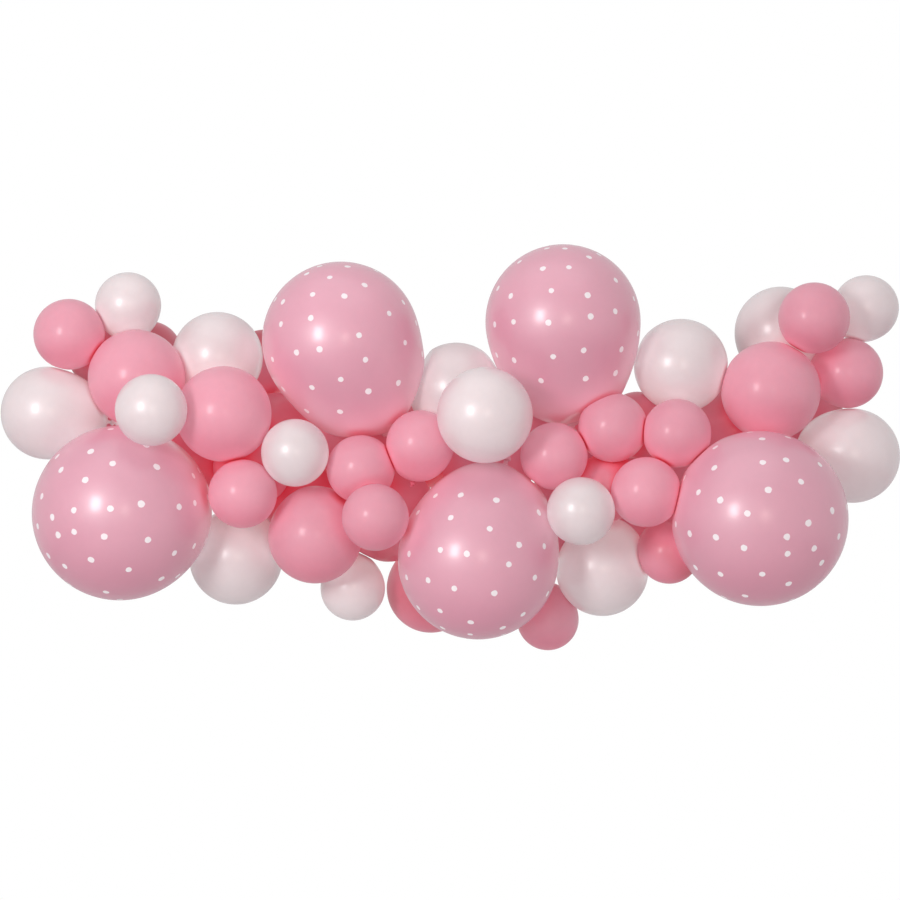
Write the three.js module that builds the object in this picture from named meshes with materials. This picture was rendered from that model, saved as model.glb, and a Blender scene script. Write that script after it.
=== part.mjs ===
// Balloon garland: round latex balloons of three sizes packed along a punched plastic
// decorating strip. Millimetres, +X along the garland, +Z up, the wall on the +Y side.
// The origin is on the strip's flat back face, at the middle of its length.

import * as THREE from 'three';
import { mergeVertices } from 'three/addons/utils/BufferGeometryUtils.js';

// ---------------------------------------------------------------- driving sizes

const VIEW_DISTANCE = 4500; // the layout is laid out by eye from this far in front
const PRESS = 0.06; // share of their radii by which two neighbours may squeeze each other
const CONTACT_GAP = 0.3; // air left between two balloons that touch
const SETTLE_ROUNDS = 1500;
const SETTLE_SHARE = 0.3; // part of an overlap taken out in one round
const HOLD = 0.01; // pull back to the chosen depth in one round
const WALL_SIDE = 232; // depth of the flat side that the garland turns to the wall

const KINDS = {
  large: { droop: 0.16, point: 3, neck: 5, knot: 8, tail: 30, around: 16, rings: 9 },
  medium: { droop: 0.13, point: 3, neck: 3.6, knot: 6, tail: 20, around: 12, rings: 6 },
  small: { droop: 0.12, point: 3, neck: 2.8, knot: 4.5, tail: 14, around: 9, rings: 5 },
};
const KNOT_LENGTH = 7;
const SUPPORT_STEPS = 36;
const TAIL_TRIES = 400;
const TAIL_CLEARANCE = 1.5;

const STRIP_WIDTH = 14;
const STRIP_THICKNESS = 1.6;
const STRIP_HALF_SPAN = 640;
const STRIP_LOW = -15; // height of the strip's middle in the layout
const STRIP_RISE = 75; // how much higher its ends hang
const STRIP_CLEARANCE = 3;
const HOLE_PITCH = 52;
const HOLE_RADIUS = 4.6;
const HOLE_SIDES = 8;
const THREADED_NECK = 2.2; // radius of a neck pulled through a hole
const REACH_LIMIT = 1.55; // a neck stretches this many radii from the balloon's centre
const REACH_LEAST = 1.2;
const LEAN_LIMIT = 0.7; // least cosine between a threaded neck and the wall's normal

const FINISHES = {
  pink: { color: 0xe99fb1, roughness: 0.35, metalness: 0 },
  pearlPink: { color: 0xdf9db5, roughness: 0.28, metalness: 0 },
  pearlWhite: { color: 0xece4e4, roughness: 0.28, metalness: 0 },
  strip: { color: 0xf0dfe2, roughness: 0.5, metalness: 0 },
};

// Where each balloon sits: x and z as lined up from the front on the garland's middle
// plane, depth towards the wall, and its width across. tail is the way its knot points
// where that matters, and droop how far the latex draws out towards the knot.
const LAYOUT = [
  { name: 'dotted_far_left', kind: 'large', across: 308, x: -587, z: -121, depth: -30,
    tail: [0.5, 0.8, 0.1] },
  { name: 'dotted_top_left', kind: 'large', across: 280, x: -194, z: 186, depth: 0,
    tail: [0.15, 0.35, -1], droop: 0.36 },
  { name: 'dotted_top_middle', kind: 'large', across: 276, x: 201, z: 219, depth: 0,
    tail: [0, 0.35, -1], droop: 0.38 },
  { name: 'dotted_bottom_middle', kind: 'large', across: 282, x: 50, z: -203, depth: -60,
    tail: [0.1, 0.35, 1], droop: 0.24 },
  { name: 'dotted_far_right', kind: 'large', across: 304, x: 552, z: -131, depth: -95,
    tail: [-0.3, 0.9, 0.2] },

  { name: 'white_medium_1', kind: 'medium', across: 166, x: -716, z: 57, depth: 20,
    tail: [1, 0.3, -0.15], droop: 0.3 },
  { name: 'white_medium_2', kind: 'medium', across: 164, x: -414, z: 156, depth: 60 },
  { name: 'white_medium_3', kind: 'medium', across: 170, x: 11, z: 98, depth: 40,
    tail: [0.3, 0.7, -0.6] },
  { name: 'white_medium_4', kind: 'medium', across: 166, x: 62, z: 53, depth: -130 },
  { name: 'white_medium_5', kind: 'medium', across: 168, x: 411, z: 141, depth: 25 },
  { name: 'white_medium_6', kind: 'medium', across: 166, x: 588, z: 201, depth: 110,
    tail: [-0.1, 0.6, -1] },
  { name: 'white_medium_7', kind: 'medium', across: 170, x: 716, z: -19, depth: 60,
    tail: [-1, 0.3, 0.25], droop: 0.2 },
  { name: 'white_medium_8', kind: 'medium', across: 168, x: -381, z: -201, depth: 70,
    tail: [0.1, 0.5, 1] },
  { name: 'white_medium_9', kind: 'medium', across: 166, x: 271, z: -222, depth: 50,
    tail: [0.25, 0.4, 1], droop: 0.18 },

  { name: 'white_small_1', kind: 'small', across: 118, x: -573, z: 249, depth: 40,
    tail: [0, 0.5, -1] },
  { name: 'white_small_2', kind: 'small', across: 124, x: -532, z: 62, depth: -150 },
  { name: 'white_small_3', kind: 'small', across: 118, x: -276, z: -14, depth: -90 },
  { name: 'white_small_4', kind: 'small', across: 116, x: -173, z: -255, depth: 60,
    tail: [0, 0.3, 1], droop: 0.18 },
  { name: 'white_small_5', kind: 'small', across: 118, x: 233, z: -118, depth: -120 },
  { name: 'white_small_6', kind: 'small', across: 118, x: 740, z: 244, depth: 60,
    tail: [-0.7, 0.3, -0.7] },

  { name: 'pink_medium_1', kind: 'medium', across: 172, x: -558, z: 119, depth: 0 },
  { name: 'pink_medium_2', kind: 'medium', across: 168, x: -403, z: 55, depth: -50 },
  { name: 'pink_medium_3', kind: 'medium', across: 166, x: -240, z: -163, depth: -20,
    tail: [0, 1, 0.9], droop: 0.2 },
  { name: 'pink_medium_4', kind: 'medium', across: 176, x: 571, z: 96, depth: -5 },
  { name: 'pink_medium_5', kind: 'medium', across: 162, x: -34, z: -255, depth: 130,
    tail: [0.2, 0.3, 1] },
  { name: 'pink_medium_6', kind: 'medium', across: 176, x: -110, z: -121, depth: 90 },
  { name: 'pink_medium_7', kind: 'medium', across: 160, x: 502, z: 27, depth: 125 },
  { name: 'pink_medium_8', kind: 'medium', across: 140, x: -352, z: -40, depth: 60 },
  { name: 'pink_medium_9', kind: 'medium', across: 148, x: -268, z: -90, depth: 110 },
  { name: 'pink_medium_10', kind: 'medium', across: 164, x: 67, z: -41, depth: 95 },
  { name: 'pink_medium_11', kind: 'medium', across: 168, x: -57, z: 2, depth: 150 },

  { name: 'pink_small_1', kind: 'small', across: 126, x: -678, z: 197, depth: 20 },
  { name: 'pink_small_2', kind: 'small', across: 120, x: -369, z: -87, depth: -60 },
  { name: 'pink_small_3', kind: 'small', across: 120, x: -159, z: -43, depth: -55 },
  { name: 'pink_small_4', kind: 'small', across: 120, x: -53, z: 1, depth: -60,
    tail: [-0.2, 0.4, -1] },
  { name: 'pink_small_5', kind: 'small', across: 116, x: -133, z: -129, depth: -125 },
  { name: 'pink_small_6', kind: 'small', across: 118, x: 185, z: -20, depth: -60 },
  { name: 'pink_small_7', kind: 'small', across: 122, x: 290, z: 31, depth: -50 },
  { name: 'pink_small_8', kind: 'small', across: 120, x: 404, z: 21, depth: -70 },
  { name: 'pink_small_9', kind: 'small', across: 122, x: 349, z: -84, depth: -80 },
  { name: 'pink_small_10', kind: 'small', across: 110, x: 390, z: -192, depth: 10,
    tail: [-0.5, 0.4, 0.7] },
  { name: 'pink_small_11', kind: 'small', across: 126, x: 648, z: 226, depth: -20 },
  { name: 'pink_small_12', kind: 'small', across: 126, x: 708, z: 128, depth: 50,
    tail: [-1, 0.4, 0] },
  { name: 'pink_small_13', kind: 'small', across: 122, x: 280, z: -75, depth: -15 },
  { name: 'pink_small_14', kind: 'small', across: 114, x: -536, z: 166, depth: 150 },
  { name: 'pink_small_15', kind: 'small', across: 110, x: -626, z: 160, depth: 110 },
  { name: 'pink_small_16', kind: 'small', across: 122, x: 334, z: 35, depth: 70 },
  { name: 'pink_small_17', kind: 'small', across: 112, x: 174, z: -310, depth: 80,
    tail: [0, 0.3, 1], droop: 0.2 },
  { name: 'pink_small_18', kind: 'small', across: 124, x: -331, z: 146, depth: 170 },
  { name: 'pink_small_19', kind: 'small', across: 130, x: -306, z: 30, depth: 95 },
  { name: 'pink_small_20', kind: 'small', across: 138, x: -177, z: 9, depth: 115 },
  { name: 'pink_small_21', kind: 'small', across: 132, x: 157, z: 59, depth: 130 },
  { name: 'pink_small_22', kind: 'small', across: 122, x: 238, z: 6, depth: 165 },
  { name: 'pink_small_23', kind: 'small', across: 130, x: 373, z: -38, depth: 145 },
  { name: 'pink_small_24', kind: 'small', across: 134, x: 354, z: -152, depth: 145 },
  { name: 'pink_small_25', kind: 'small', across: 126, x: 644, z: 38, depth: 165 },
  { name: 'pink_small_26', kind: 'small', across: 132, x: -598, z: 27, depth: 150 },
  { name: 'pink_small_27', kind: 'small', across: 130, x: -457, z: -24, depth: 75 },
  { name: 'pink_small_28', kind: 'small', across: 140, x: 180, z: -128, depth: 75 },
];

// ---------------------------------------------------------------- one balloon's form

/** The balloon's skin seen from its centre: distance to it at an angle from the tail. */
function skinAt(balloon, cosine) {
  return balloon.radius * (1 + balloon.droop * Math.max(cosine, 0) ** balloon.kind.point);
}

/** How far the body reaches along a direction, as a plane pushed against it would find. */
function support(balloon, direction) {
  const lean = Math.acos(THREE.MathUtils.clamp(direction.dot(balloon.tail), -1, 1));
  let reach = 0;
  for (let step = 0; step <= SUPPORT_STEPS; step += 1) {
    const angle = (Math.PI * step) / SUPPORT_STEPS;
    reach = Math.max(reach, skinAt(balloon, Math.cos(angle)) * Math.cos(angle - lean));
  }
  return reach;
}

/** A balloon from its row in the layout, with its tail pointing to the wall unless given. */
function makeBalloon(row) {
  const kind = KINDS[row.kind];
  const colour = row.name.startsWith('white') ? 'pearlWhite' : 'pink';
  return {
    ...row,
    kind,
    finish: row.kind === 'large' ? 'pearlPink' : colour,
    radius: row.across / 2,
    droop: row.droop ?? kind.droop,
    chosenDepth: row.depth,
    aimed: Boolean(row.tail),
    tail: new THREE.Vector3(...(row.tail ?? [0, 1, 0])).normalize(),
    centre: new THREE.Vector3(),
    neckEnd: 0,
    threaded: false,
  };
}

/** Slides the balloon along its line of sight to its depth. */
function placeAtDepth(balloon) {
  const slide = (VIEW_DISTANCE + balloon.depth) / VIEW_DISTANCE;
  balloon.centre.set(balloon.x * slide, balloon.depth, balloon.z * slide);
}

// ---------------------------------------------------------------- packing

/** Takes part of one pair's overlap out by moving the front one forwards, the other back. */
function separate(one, other) {
  const [front, back] = one.depth <= other.depth ? [one, other] : [other, one];
  const across = Math.hypot(one.centre.x - other.centre.x, one.centre.z - other.centre.z);
  const apart = (one.radius + other.radius) * (1 - PRESS);
  if (across >= apart) return;
  const overlap = Math.sqrt(apart ** 2 - across ** 2) - (back.depth - front.depth);
  if (overlap <= 0) return;
  const weight = back.radius / (front.radius + back.radius);
  front.depth -= SETTLE_SHARE * overlap * weight;
  back.depth += SETTLE_SHARE * overlap * (1 - weight);
}

/** Lets the balloons push each other forwards and back until none is squeezed too hard. */
function settle(balloons) {
  balloons.forEach(placeAtDepth);
  for (let round = 0; round < SETTLE_ROUNDS; round += 1) {
    balloons.forEach((one, index) => {
      balloons.slice(index + 1).forEach((other) => separate(one, other));
    });
    balloons.forEach((balloon) => {
      balloon.depth += HOLD * (balloon.chosenDepth - balloon.depth);
      balloon.depth = Math.min(balloon.depth, WALL_SIDE - balloon.radius * (1 - PRESS));
      placeAtDepth(balloon);
    });
  }
}

// ---------------------------------------------------------------- the strip's route

/** Height of the strip's centre line, a shallow sag, at a distance along the garland. */
function stripHeight(x) {
  return STRIP_LOW + STRIP_RISE * (x / STRIP_HALF_SPAN) ** 2;
}

/** Distances along the garland of the strip's holes, none of them at its middle. */
function holePlaces() {
  const half = Math.floor(STRIP_HALF_SPAN / HOLE_PITCH - 0.5);
  return Array.from({ length: 2 * half }, (_, index) => (index - half + 0.5) * HOLE_PITCH);
}

// ---------------------------------------------------------------- tails

/** The worst cut of a tail, from the body to past its knot, into anything near it. */
function tailClash(balloon, direction, length, others, farSide) {
  const { knot } = balloon.kind;
  let worst = 0;
  for (let along = balloon.radius * 0.9; along <= length; along += 6) {
    const point = balloon.centre.clone().addScaledVector(direction, along);
    const past = along > balloon.radius * 1.1 ? knot + TAIL_CLEARANCE : 0;
    worst = Math.max(worst, point.y + past - farSide);
    for (const other of others) {
      const away = point.clone().sub(other.centre);
      const distance = away.length();
      const skin = skinAt(other, away.dot(other.tail) / distance);
      worst = Math.max(worst, skin + past - distance);
    }
  }
  return worst;
}

/** Directions spread evenly over a sphere. */
function evenDirections(count) {
  const turn = Math.PI * (3 - Math.sqrt(5));
  return Array.from({ length: count }, (_, index) => {
    const height = 1 - (2 * index + 1) / count;
    const flat = Math.sqrt(1 - height ** 2);
    return new THREE.Vector3(flat * Math.cos(turn * index), height, flat * Math.sin(turn * index));
  });
}

/** Turns a tail to the free direction nearest the wanted one. */
function turnToFree(balloon, others) {
  const wanted = balloon.tail.clone();
  const length = balloon.radius * (1 + balloon.droop) + balloon.kind.tail;
  const tries = [wanted, ...evenDirections(TAIL_TRIES)];
  let best = Infinity;
  tries.forEach((direction) => {
    const clash = tailClash(balloon, direction, length, others, WALL_SIDE);
    const cost = wanted.angleTo(direction) * 10 + Math.max(0, clash) * 4;
    if (cost < best) {
      best = cost;
      balloon.tail.copy(direction);
    }
  });
  balloon.neckEnd = length;
}

/** Threads a tail through the nearest free hole of the strip, where it reaches one. */
function threadThroughStrip(balloon, others, freeHoles, stripFront) {
  let best = null;
  freeHoles.forEach((x) => {
    const hole = new THREE.Vector3(x, stripFront + STRIP_THICKNESS / 2, stripHeight(x));
    const way = hole.sub(balloon.centre);
    const length = way.length();
    const reach = length / balloon.radius;
    const direction = way.normalize();
    if (reach > REACH_LIMIT || reach < REACH_LEAST || direction.y < LEAN_LIMIT) return;
    if (tailClash(balloon, direction, length - KNOT_LENGTH, others, Infinity) > 0) return;
    if (!best || length < best.length) best = { x, length, direction };
  });
  if (!best) return;
  freeHoles.delete(best.x);
  balloon.tail.copy(best.direction);
  balloon.threaded = true;
  balloon.neckEnd = best.length + KNOT_LENGTH * 1.6;
}

// ---------------------------------------------------------------- flats where they touch

/** Flats that neighbours and the wall side press into a balloon, as planes round its centre. */
function contactPlanes(balloon, others) {
  const planes = [{ normal: new THREE.Vector3(0, 1, 0), offset: WALL_SIDE - balloon.centre.y }];
  others.forEach((other) => {
    const normal = other.centre.clone().sub(balloon.centre);
    const distance = normal.length();
    normal.normalize();
    const mine = support(balloon, normal);
    const theirs = support(other, normal.clone().negate());
    const squeeze = mine + theirs + CONTACT_GAP - distance;
    if (squeeze > 0) planes.push({ normal, offset: mine - squeeze / 2 });
  });
  return planes;
}

/** Draws a point of the body in towards the centre until it is behind every flat. */
function drawIn(point, planes) {
  planes.forEach(({ normal, offset }) => {
    const reach = point.dot(normal);
    if (reach > offset) point.multiplyScalar(offset / reach);
  });
}

// ---------------------------------------------------------------- geometry

/** Half outline of a balloon, crown first: body, drawn-in neck and knot, axis to axis. */
function balloonOutline(balloon) {
  const { neck, knot, rings } = balloon.kind;
  const tip = skinAt(balloon, 1);
  const last = Math.PI - Math.asin((neck * 2.5) / tip);
  const outline = [new THREE.Vector2(0, -balloon.radius)];
  for (let ring = 1; ring <= rings; ring += 1) {
    const angle = Math.PI - (last * ring) / rings;
    const skin = skinAt(balloon, Math.cos(angle));
    outline.push(new THREE.Vector2(skin * Math.sin(angle), skin * Math.cos(angle)));
  }
  const end = balloon.neckEnd;
  if (balloon.threaded) {
    outline.push(new THREE.Vector2(THREADED_NECK, Math.max(tip + 1, end - KNOT_LENGTH * 2.4)));
    outline.push(new THREE.Vector2(THREADED_NECK, end - KNOT_LENGTH));
  } else {
    outline.push(new THREE.Vector2(neck, end - KNOT_LENGTH * 1.4));
  }
  outline.push(new THREE.Vector2(knot, end - KNOT_LENGTH * 0.4));
  outline.push(new THREE.Vector2(0, end));
  return outline;
}

/** A closed mesh geometry: shared corners joined, and the slivers at a turned pole left out. */
function closedGeometry(geometry) {
  geometry.deleteAttribute('normal');
  geometry.deleteAttribute('uv');
  const closed = mergeVertices(geometry, 1e-3);
  const corners = Array.from(closed.index.array);
  const kept = [];
  for (let start = 0; start < corners.length; start += 3) {
    const [a, b, c] = corners.slice(start, start + 3);
    if (a !== b && b !== c && c !== a) kept.push(a, b, c);
  }
  closed.setIndex(kept);
  closed.computeVertexNormals();
  return closed;
}

/** The balloon's mesh: turned from its outline, then pressed flat where others touch it. */
function balloonMesh(balloon, others) {
  const geometry = closedGeometry(new THREE.LatheGeometry(balloonOutline(balloon), balloon.kind.around));
  const toTail = new THREE.Quaternion().setFromUnitVectors(new THREE.Vector3(0, 1, 0), balloon.tail);
  const fromTail = toTail.clone().invert();
  const planes = contactPlanes(balloon, others).map(({ normal, offset }) => ({
    normal: normal.clone().applyQuaternion(fromTail),
    offset,
  }));
  const corners = geometry.getAttribute('position');
  const bodyEnd = skinAt(balloon, 1) - 0.5;
  for (let index = 0; index < corners.count; index += 1) {
    const corner = new THREE.Vector3().fromBufferAttribute(corners, index);
    if (corner.y < bodyEnd) drawIn(corner, planes);
    corners.setXYZ(index, corner.x, corner.y, corner.z);
  }
  geometry.computeVertexNormals();
  const mesh = new THREE.Mesh(geometry, new THREE.MeshStandardMaterial(FINISHES[balloon.finish]));
  mesh.name = balloon.name;
  mesh.position.copy(balloon.centre);
  mesh.quaternion.copy(toTail);
  return mesh;
}

/** The punched strip: a flat band with a hole at each step of its pitch. */
function stripMesh(stripFront) {
  const stations = Array.from({ length: 25 }, (_, index) => STRIP_HALF_SPAN * (index / 12 - 1));
  const above = stations.map((x) => new THREE.Vector2(x, stripHeight(x) + STRIP_WIDTH / 2));
  const below = stations.map((x) => new THREE.Vector2(x, stripHeight(x) - STRIP_WIDTH / 2));
  const band = new THREE.Shape([...below, ...above.reverse()]);
  holePlaces().forEach((x) => {
    const corners = Array.from({ length: HOLE_SIDES }, (_, index) => {
      const angle = (-2 * Math.PI * index) / HOLE_SIDES;
      const across = HOLE_RADIUS * Math.cos(angle);
      return new THREE.Vector2(x + across, stripHeight(x) + HOLE_RADIUS * Math.sin(angle));
    });
    band.holes.push(new THREE.Path(corners));
  });
  const options = { depth: STRIP_THICKNESS, bevelEnabled: false, curveSegments: 1 };
  const geometry = closedGeometry(new THREE.ExtrudeGeometry(band, options));
  const mesh = new THREE.Mesh(geometry, new THREE.MeshStandardMaterial(FINISHES.strip));
  mesh.name = 'decorating_strip';
  mesh.rotation.x = Math.PI / 2;
  mesh.position.y = stripFront + STRIP_THICKNESS;
  return mesh;
}

// ---------------------------------------------------------------- assembly

/** The whole garland, moved so that the strip's back face at its middle is the origin. */
function buildGarland() {
  const balloons = LAYOUT.map(makeBalloon);
  settle(balloons);
  const stripFront = WALL_SIDE + STRIP_CLEARANCE;
  const othersOf = (balloon) => balloons.filter((other) => other !== balloon);
  const freeHoles = new Set(holePlaces());
  balloons.forEach((balloon) => turnToFree(balloon, othersOf(balloon)));
  balloons.filter(({ aimed }) => !aimed).forEach((balloon) => {
    threadThroughStrip(balloon, othersOf(balloon), freeHoles, stripFront);
  });
  const garland = new THREE.Group();
  garland.add(...balloons.map((balloon) => balloonMesh(balloon, othersOf(balloon))));
  garland.add(stripMesh(stripFront));
  garland.position.set(0, -(stripFront + STRIP_THICKNESS), -STRIP_LOW);
  const part = new THREE.Group();
  part.add(garland);
  return part;
}

export default buildGarland();
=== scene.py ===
"""Looks of a balloon garland: latex balloons in three sizes, packed along a punched strip.

Every balloon is measured from its node in the frame, then made again as a fine skin with its
neck, knot and rolled lip, pressed flat where its neighbours touch it. Metres, +Z up, the wall
on the +Y side.
"""

import logging
import math
from dataclasses import dataclass, field
from enum import Enum
from typing import Optional, Union

import bmesh
import bpy
import numpy as np
from mathutils import Matrix, Quaternion, Vector


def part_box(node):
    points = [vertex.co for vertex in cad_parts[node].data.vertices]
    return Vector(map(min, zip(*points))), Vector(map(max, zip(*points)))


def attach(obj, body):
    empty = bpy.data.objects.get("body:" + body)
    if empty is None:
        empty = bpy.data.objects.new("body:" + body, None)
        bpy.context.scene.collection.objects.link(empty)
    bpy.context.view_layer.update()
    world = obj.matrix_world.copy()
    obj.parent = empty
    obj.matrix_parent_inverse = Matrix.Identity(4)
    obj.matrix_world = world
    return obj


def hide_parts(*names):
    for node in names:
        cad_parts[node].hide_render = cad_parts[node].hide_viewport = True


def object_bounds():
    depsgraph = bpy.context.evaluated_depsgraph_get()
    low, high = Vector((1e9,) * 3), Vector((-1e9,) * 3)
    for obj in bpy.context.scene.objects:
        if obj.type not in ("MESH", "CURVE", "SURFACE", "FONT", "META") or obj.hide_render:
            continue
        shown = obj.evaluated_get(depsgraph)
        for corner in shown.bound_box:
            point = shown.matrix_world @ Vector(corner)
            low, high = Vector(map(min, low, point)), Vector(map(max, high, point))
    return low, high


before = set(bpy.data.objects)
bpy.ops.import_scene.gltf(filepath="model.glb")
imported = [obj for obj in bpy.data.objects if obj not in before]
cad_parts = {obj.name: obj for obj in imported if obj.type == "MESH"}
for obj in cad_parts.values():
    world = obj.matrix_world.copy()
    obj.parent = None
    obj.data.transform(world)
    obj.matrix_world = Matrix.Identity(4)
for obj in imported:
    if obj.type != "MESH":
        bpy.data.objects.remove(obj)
CAD_BOX = [list(corner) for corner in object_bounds()]

LOG = logging.getLogger("garland")
MM = 0.001
BODY = "root"
STRIP_NODE = "decorating_strip"
Number = Union[float, int, "Signal"]
Colour = tuple[float, float, float]
Outline = list[tuple[float, float]]  # points of a flat shape, as two distances
WHITE: Colour = (1.0, 1.0, 1.0)


class Kind(Enum):
    """The three sizes of balloon, as they are sold."""

    LARGE = "large"
    MEDIUM = "medium"
    SMALL = "small"


class Dye(Enum):
    """What a balloon's latex is coloured with."""

    MATT_PINK = "latex_pink"
    PEARL_WHITE = "latex_pearl_white"
    DOTTED_PINK = "latex_pearl_pink"


@dataclass(frozen=True)
class Make:
    """How a kind of balloon is made, in metres, and how finely it is modelled.

    Attributes:
        neck: radius of the drawn-in neck.
        knot: radius of the knot.
        around: steps round the balloon.
        along: steps from its crown to its neck.
    """

    neck: float
    knot: float
    around: int
    along: int


MAKES: dict[Kind, Make] = {
    Kind.LARGE: Make(neck=5.0 * MM, knot=8.0 * MM, around=112, along=72),
    Kind.MEDIUM: Make(neck=3.6 * MM, knot=6.0 * MM, around=80, along=48),
    Kind.SMALL: Make(neck=2.8 * MM, knot=4.5 * MM, around=64, along=40),
}
SKIN_POINT = 3  # how sharply the skin draws out towards the neck
LEAST_DROOP = 0.05  # share of the radius
THREADED_NECK = 2.2 * MM
CONTACT_GAP = 0.3 * MM
CONTACT_ROUNDING = 0.045  # share of the radius over which a flat's edge is rounded
WALL_ROOM = 3.0 * MM

OPEN_SIDE = np.array((0.0, -1.0, 0.0))
BACK_FADE = 0.8  # how gently the painted shade in the gaps ends on skin that looks towards the wall
FILL_POWER = 1.5  # how fast a neighbour counts for less as it stands further aside
# how much a neighbour of each dye counts in the closeness that drives the painted shade and glow
GAP_SHARE = {Dye.MATT_PINK: 1.0, Dye.DOTTED_PINK: 0.9, Dye.PEARL_WHITE: 0.45}

BALL_TRIES = 2500
BALL_FIT = 0.03 * MM  # how near to a ball a corner counts as on it
BALL_SPREAD = 0.02  # four corners that are flatter than this are left out
BALL_SHARE = 0.55  # a ball is at least this share of the whole's reach


# ------------------------------------------------------------------------------ measuring


@dataclass
class Form:
    """One balloon's form, measured from its node.

    Attributes:
        name: the node's name.
        kind: the size it is sold in.
        dye: what its latex is coloured with.
        centre: the middle of its round part.
        radius: the radius there.
        tail: unit direction from the centre to the knot.
        droop: how far the skin draws out towards the knot, as a share of the radius.
        end: distance from the centre to the end of the knot.
        threaded: whether its neck goes through a hole of the strip.
    """

    name: str
    kind: Kind
    dye: Dye
    centre: Vector
    radius: float
    tail: Vector
    droop: float
    end: float
    threaded: bool

    DRAWN_FROM = 0.35  # cosine of the angle from the tail where the draw is measured
    CLEAR_OF_KNOT = 1.3  # knot radii from the axis, past which a corner is on the skin
    SUPPORT_STEPS = 72

    @classmethod
    def measure(cls, name: str, node: bpy.types.Object) -> "Form":
        """Measures a balloon's node.

        Args:
            name: the node's name.
            node: its object.

        Returns:
            The balloon's form.
        """
        kind = cls.kind_of(name)
        corners = np.array([vertex.co for vertex in node.data.vertices], float)
        corners = np.unique(corners.round(7), axis=0)
        centre, radius = round_part(corners)
        rays = corners - centre
        lengths = np.linalg.norm(rays, axis=1)
        tip = rays[lengths.argmax()]
        tail = tip / lengths.max()
        cosines = rays @ tail / lengths
        aside = lengths * np.sqrt(np.clip(1 - cosines**2, 0, 1))
        body = (cosines > cls.DRAWN_FROM) & (aside > cls.CLEAR_OF_KNOT * MAKES[kind].knot)
        drawn = (lengths[body] / radius - 1) / cosines[body] ** SKIN_POINT
        return cls(
            name=name,
            kind=kind,
            dye=cls.dye_of(name),
            centre=Vector(centre),
            radius=float(radius),
            tail=Vector(tail),
            droop=float(max(drawn.max(), LEAST_DROOP)),
            end=float(lengths.max()),
            threaded=bool((centre + tip)[1] > 0),
        )

    @staticmethod
    def kind_of(name: str) -> Kind:
        """Reads the kind from a node's name.

        Args:
            name: the node's name.

        Returns:
            The kind.
        """
        if name.startswith("dotted"):
            return Kind.LARGE
        return Kind.MEDIUM if "medium" in name else Kind.SMALL

    @staticmethod
    def dye_of(name: str) -> Dye:
        """Reads the dye from a node's name.

        Args:
            name: the node's name.

        Returns:
            The dye.
        """
        if name.startswith("dotted"):
            return Dye.DOTTED_PINK
        return Dye.PEARL_WHITE if name.startswith("white") else Dye.MATT_PINK

    def skin(self, cosine: np.ndarray) -> np.ndarray:
        """Distance from the centre to the skin, by the cosine of the angle from the tail."""
        return self.radius * (1 + self.droop * np.clip(cosine, 0, None) ** SKIN_POINT)

    def tip(self) -> float:
        """Distance from the centre to where the drawn-out skin meets the tail's axis."""
        return float(self.skin(np.array(1.0)))

    def support(self, direction: Vector) -> float:
        """Measures how far the skin reaches along a direction.

        Args:
            direction: the unit direction.

        Returns:
            The distance from the centre to the plane that just touches the skin.
        """
        lean = math.acos(max(-1.0, min(1.0, direction.dot(self.tail))))
        angles = np.linspace(0, math.pi, self.SUPPORT_STEPS + 1)
        return float((self.skin(np.cos(angles)) * np.cos(angles - lean)).max())


def round_part(corners: np.ndarray) -> tuple[np.ndarray, float]:
    """Finds the ball that most of the corners lie on, whatever is pressed in or drawn out.

    Many balls are tried, each through four corners, and the one that the most corners fit wins.
    A ball that the crown stands out of, or that is small beside the whole, is left out.

    Args:
        corners: the node's corners, one in a row.

    Returns:
        The ball's centre and radius.
    """
    draw = np.random.default_rng(1)
    picked = corners[draw.integers(len(corners), size=(BALL_TRIES, 4))]
    table = 2 * (picked[:, 1:] - picked[:, :1])
    spread = np.abs(np.linalg.det(table / np.abs(table).max((1, 2), initial=MM)[:, None, None]))
    picked, table = picked[spread > BALL_SPREAD], table[spread > BALL_SPREAD]
    squares = (picked**2).sum(2)
    centres = np.linalg.solve(table, (squares[:, 1:] - squares[:, :1])[:, :, None])[:, :, 0]
    rays = corners - centres[:, None]
    lengths = np.linalg.norm(rays, axis=2)
    radii = np.linalg.norm(picked[:, 0] - centres, axis=1)[:, None]
    tips = np.take_along_axis(rays, lengths.argmax(1)[:, None, None], axis=1)
    crown = (rays * tips).sum(2) < 0
    stands_out = (crown & (lengths > radii + BALL_FIT)).any(1)
    fits = np.abs(lengths - radii) < BALL_FIT
    counts = fits.sum(1) * ~stands_out * (radii[:, 0] > BALL_SHARE * lengths.max(1))
    kept = corners[fits[counts.argmax()]]
    table = np.c_[2 * kept, np.ones(len(kept))]
    answer = np.linalg.lstsq(table, (kept**2).sum(1), rcond=None)[0]
    return answer[:3], math.sqrt(answer[3] + answer[:3] @ answer[:3])


# ------------------------------------------------------------------------------ packing


@dataclass
class Flat:
    """A flat pressed into a balloon: the plane at an offset from its centre."""

    normal: Vector
    offset: float


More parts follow.
